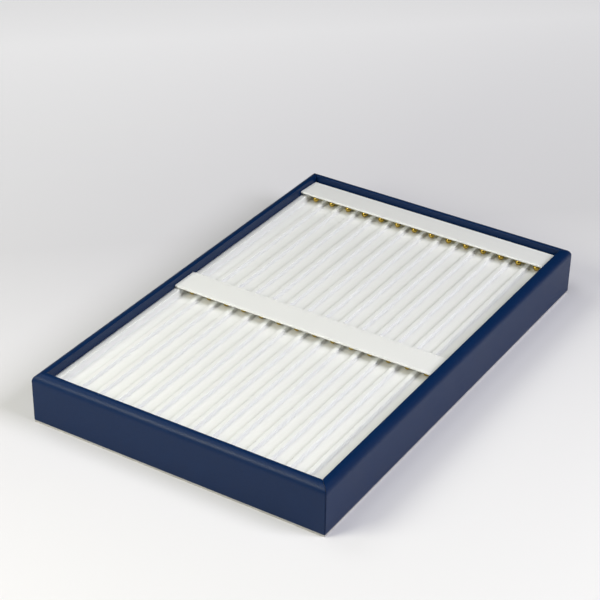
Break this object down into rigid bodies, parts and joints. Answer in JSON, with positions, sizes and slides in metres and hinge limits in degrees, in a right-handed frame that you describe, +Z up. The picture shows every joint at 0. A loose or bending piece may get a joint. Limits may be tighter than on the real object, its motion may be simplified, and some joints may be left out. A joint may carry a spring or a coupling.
{
  "type": "jewellery chain display tray",
  "caption": "Leatherette-wrapped display tray with rows of lined grooves for chains, ball hooks at the head of each row and a hinged flap over the hooks.",
  "frame": {"origin": "centre of the base board's underside", "axes": "+X across the tray to its right side, +Y from its front to its rear, +Z up"},
  "size_m": [0.24, 0.3726, 0.0398],
  "materials": {
    "navy_leatherette": "satin, fine grain",
    "white_leatherette": "matt, fine grain",
    "fibreboard": "sawn board",
    "softwood": "planed",
    "greyboard": "smooth, matt",
    "brass": "polished"
  },
  "bodies": {
    "tray": {"base_board": "greyboard", "front_ball_hooks": "brass", "front_frame_core": "fibreboard", "front_frame_cover": "navy_leatherette", "front_groove_lining": "white_leatherette", "front_hinge_strip": "white_leatherette", "front_hook_rail": "softwood", "front_hook_rail_cover": "white_leatherette", "front_insert_board": "fibreboard", "front_left_border_strip": "softwood", "front_ridge_battens": "softwood", "front_right_border_strip": "softwood", "left_frame_core": "fibreboard", "left_frame_cover": "navy_leatherette", "rear_ball_hooks": "brass", "rear_frame_core": "fibreboard", "rear_frame_cover": "navy_leatherette", "rear_groove_lining": "white_leatherette", "rear_hinge_strip": "white_leatherette", "rear_hook_rail": "softwood", "rear_hook_rail_cover": "white_leatherette", "rear_insert_board": "fibreboard", "rear_left_border_strip": "softwood", "rear_ridge_battens": "softwood", "rear_right_border_strip": "softwood", "right_frame_core": "fibreboard", "right_frame_cover": "navy_leatherette", "support_battens": "softwood"},
    "front_flap": {"front_flap_board": "greyboard", "front_flap_cover": "white_leatherette"},
    "rear_flap": {"rear_flap_board": "greyboard", "rear_flap_cover": "white_leatherette"}
  },
  "joints": [
    {"name": "front_flap_hinge", "type": "hinge", "parent": "tray", "child": "front_flap", "pos_m": [0, -0.0022, 0.0332], "axis": [-1, 0, 0], "range_deg": [0, 150]},
    {"name": "rear_flap_hinge", "type": "hinge", "parent": "tray", "child": "rear_flap", "pos_m": [0, 0.17645, 0.0332], "axis": [-1, 0, 0], "range_deg": [0, 88]}
  ]
}
